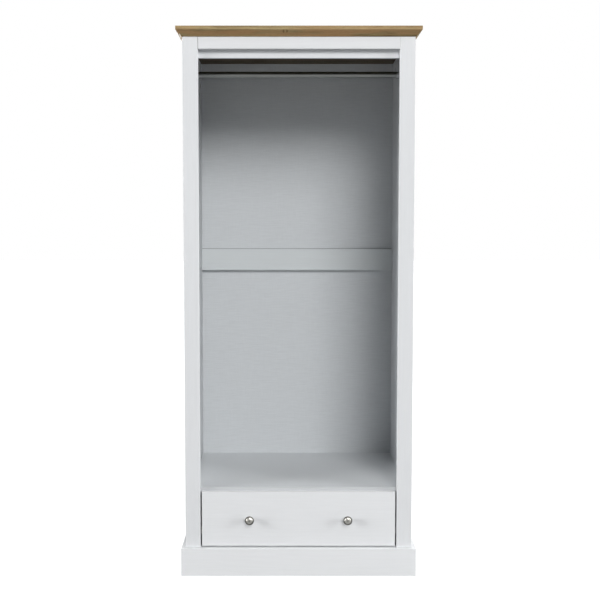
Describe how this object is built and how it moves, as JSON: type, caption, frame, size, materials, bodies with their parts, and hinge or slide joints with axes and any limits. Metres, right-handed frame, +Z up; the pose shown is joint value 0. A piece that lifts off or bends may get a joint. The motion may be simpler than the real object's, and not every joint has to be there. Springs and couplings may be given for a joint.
{
  "type": "chifforobe",
  "caption": "Tall open-fronted wardrobe with a chamfered overhanging top, hanging rail, back rail and deck above a wide inset drawer with round knobs, on a proud plinth.",
  "frame": {"origin": "on the floor, at the middle of the overall width and depth", "axes": "+X to the right seen from the front, +Y from the front to the back, +Z up"},
  "size_m": [0.796, 0.529, 1.81],
  "materials": {
    "oak_effect": "oak-effect foil, satin, fine grain",
    "white_board": "white foil with a faint wood-grain emboss, satin",
    "back_board": "white printed hardboard, dull",
    "drawer_board": "white foil-wrapped drawer board, satin",
    "raw_batten": "raw fibreboard",
    "satin_nickel": "satin nickel plate",
    "chrome_tube": "polished tube",
    "white_steel": "white epoxy powder coat",
    "nylon": "moulded nylon",
    "zinc_fittings": "die-cast zinc",
    "steel_fasteners": "zinc-plated steel",
    "beech": "fluted beech"
  },
  "bodies": {
    "carcass": {"top_panel": "oak_effect", "deck_panel": "white_board", "stop_rail": "white_board", "front_base_rail": "white_board", "rear_base_rail": "white_board", "middle_back_rail": "white_board", "upper_back_panel": "back_board", "lower_back_panel": "back_board", "head_rail": "white_board", "foot_rail": "white_board", "plinth_front": "white_board", "hanging_rail": "chrome_tube", "cabinet_roller_pins": "steel_fasteners", "carcass_cam_discs": "zinc_fittings", "carcass_cam_bolts": "steel_fasteners", "carcass_dowels": "beech", "rail_socket_screws": "steel_fasteners", "cabinet_runner_screws": "steel_fasteners", "runner_board_screws": "steel_fasteners", "head_rail_screws": "steel_fasteners", "plinth_screws": "steel_fasteners", "left_side_panel": "white_board", "right_side_panel": "white_board", "left_stile": "white_board", "right_stile": "white_board", "left_plinth_side": "white_board", "right_plinth_side": "white_board", "left_runner_board": "white_board", "right_runner_board": "white_board", "left_spacer_battens": "raw_batten", "right_spacer_battens": "raw_batten", "left_cabinet_runner": "white_steel", "right_cabinet_runner": "white_steel", "left_rail_socket": "chrome_tube", "right_rail_socket": "chrome_tube"},
    "drawer": {"drawer_front": "white_board", "drawer_back": "drawer_board", "drawer_bottom": "back_board", "left_drawer_side": "drawer_board", "right_drawer_side": "drawer_board", "left_drawer_runner": "white_steel", "right_drawer_runner": "white_steel", "left_knob": "satin_nickel", "right_knob": "satin_nickel", "knob_screws": "steel_fasteners", "drawer_roller_pins": "steel_fasteners", "drawer_cam_discs": "zinc_fittings", "drawer_cam_bolts": "steel_fasteners", "drawer_runner_screws": "steel_fasteners", "drawer_back_screws": "steel_fasteners", "drawer_bottom_screws": "steel_fasteners"},
    "left_cabinet_roller": {"left_cabinet_roller": "nylon"},
    "left_drawer_roller": {"left_drawer_roller": "nylon"},
    "right_cabinet_roller": {"right_cabinet_roller": "nylon"},
    "right_drawer_roller": {"right_drawer_roller": "nylon"}
  },
  "joints": [
    {"name": "drawer_slide", "type": "slide", "parent": "carcass", "child": "drawer", "axis": [0, -1, 0], "range_m": [0, 0.32]},
    {"name": "left_cabinet_roller_spin", "type": "hinge", "parent": "carcass", "child": "left_cabinet_roller", "pos_m": [-0.32175, -0.2045, 0.1465], "axis": [1, 0, 0], "continuous": true},
    {"name": "left_drawer_roller_spin", "type": "hinge", "parent": "drawer", "child": "left_drawer_roller", "pos_m": [-0.32175, 0.2135, 0.1447], "axis": [1, 0, 0], "continuous": true},
    {"name": "right_cabinet_roller_spin", "type": "hinge", "parent": "carcass", "child": "right_cabinet_roller", "pos_m": [0.32175, -0.2045, 0.1465], "axis": [1, 0, 0], "continuous": true},
    {"name": "right_drawer_roller_spin", "type": "hinge", "parent": "drawer", "child": "right_drawer_roller", "pos_m": [0.32175, 0.2135, 0.1447], "axis": [1, 0, 0], "continuous": true}
  ],
  "couplings": [
    {"joint": "left_cabinet_roller_spin", "follows": "drawer_slide", "rad_per_m": 111.11},
    {"joint": "left_drawer_roller_spin", "follows": "drawer_slide", "rad_per_m": 121.95},
    {"joint": "right_cabinet_roller_spin", "follows": "drawer_slide", "rad_per_m": 111.11},
    {"joint": "right_drawer_roller_spin", "follows": "drawer_slide", "rad_per_m": 121.95}
  ]
}
